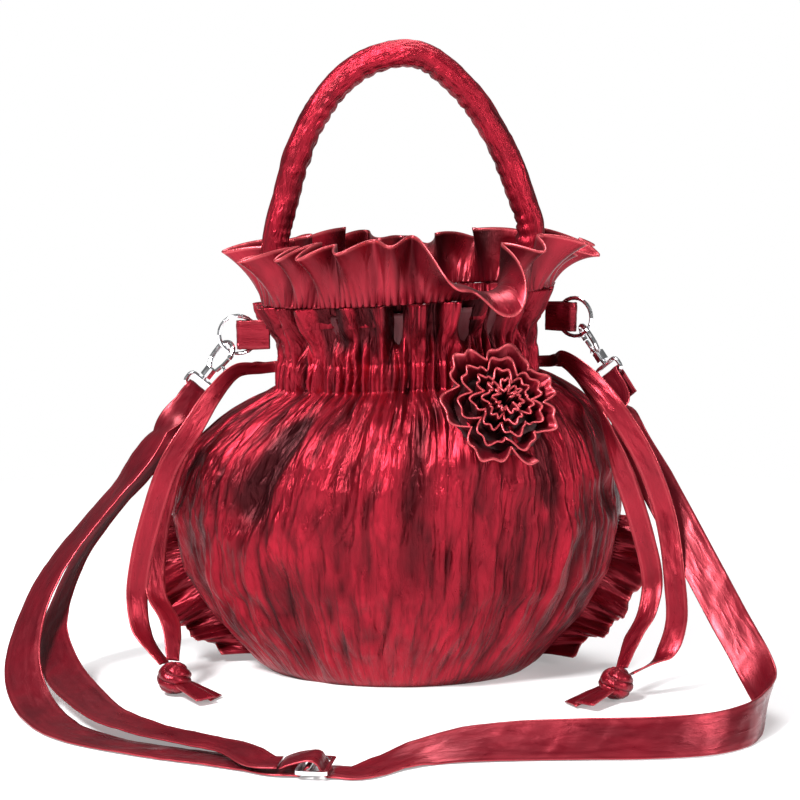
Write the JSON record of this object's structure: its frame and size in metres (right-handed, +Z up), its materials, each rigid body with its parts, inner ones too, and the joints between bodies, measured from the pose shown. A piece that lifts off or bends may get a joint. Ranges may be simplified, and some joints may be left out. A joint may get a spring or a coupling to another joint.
{
  "type": "kinchaku drawstring pouch",
  "caption": "Round gathered satin drawstring handbag with a carry handle, a ruffled top, a rosette and a clip-on shoulder strap.",
  "frame": {"origin": "on the flat base of the front panel, under the middle of the bag", "axes": "+X to the right seen from the front, -Y towards the front with the rosette, +Z up"},
  "size_m": [0.3643, 0.2757, 0.3058],
  "materials": {
    "crinkled_satin": "satin",
    "plain_satin": "satin",
    "strap_satin": "satin",
    "lining_satin": "satin",
    "chrome": "polished"
  },
  "bodies": {
    "root": {"front_panel": "crinkled_satin", "back_panel": "crinkled_satin", "carry_handle": "crinkled_satin", "top_frill": "plain_satin", "left_side_ruffle": "plain_satin", "right_side_ruffle": "plain_satin", "rosette_ribbon": "plain_satin", "left_ring_tab": "plain_satin", "right_ring_tab": "plain_satin", "left_drawcord": "plain_satin", "right_drawcord": "plain_satin", "left_knot": "plain_satin", "right_knot": "plain_satin", "strap_right_run": "strap_satin", "strap_left_outer": "strap_satin", "strap_left_return": "strap_satin", "lining": "lining_satin", "rosette_backing": "lining_satin", "left_clasp_eye": "chrome", "right_clasp_eye": "chrome"},
    "left_ring": {"left_ring": "chrome"},
    "right_ring": {"right_ring": "chrome"},
    "left_hook": {"left_clasp_hook": "chrome"},
    "right_hook": {"right_clasp_hook": "chrome"},
    "left_trigger": {"left_clasp_trigger": "chrome"},
    "right_trigger": {"right_clasp_trigger": "chrome"},
    "slider": {"strap_slider": "chrome"}
  },
  "joints": [
    {"name": "left_ring_turn", "type": "hinge", "parent": "root", "child": "left_ring", "pos_m": [-0.07749, 0.006, 0.16329], "axis": [0, -1, 0], "continuous": true},
    {"name": "left_clasp_swivel", "type": "hinge", "parent": "root", "child": "left_hook", "pos_m": [-0.09355, 0.006, 0.14297], "axis": [-0.62, 0, -0.7846], "range_deg": [-4, 88]},
    {"name": "left_trigger_press", "type": "hinge", "parent": "left_hook", "child": "left_trigger", "pos_m": [-0.08789, 0.0036, 0.14627], "axis": [-0.5548, -0.7071, 0.4384], "range_deg": [0, 24], "stiffness_Nm_per_rad": 0.002, "springref_deg": -5.73},
    {"name": "right_ring_turn", "type": "hinge", "parent": "root", "child": "right_ring", "pos_m": [0.08607, -0.0022, 0.17279], "axis": [0.5736, 0.8192, 0], "continuous": true},
    {"name": "right_clasp_swivel", "type": "hinge", "parent": "root", "child": "right_hook", "pos_m": [0.09922, -0.01141, 0.15246], "axis": [0.5079, -0.3556, -0.7846], "range_deg": [-4, 88]},
    {"name": "right_trigger_press", "type": "hinge", "parent": "right_hook", "child": "right_trigger", "pos_m": [0.09596, -0.00619, 0.15576], "axis": [0.86, 0.261, 0.4384], "range_deg": [0, 24], "stiffness_Nm_per_rad": 0.002, "springref_deg": -5.73},
    {"name": "slider_slide", "type": "slide", "parent": "root", "child": "slider", "axis": [0.9903, -0.1392, 0], "range_m": [-0.012, 0.012], "deforming": ["strap_right_run", "strap_left_outer", "strap_left_return"]}
  ]
}
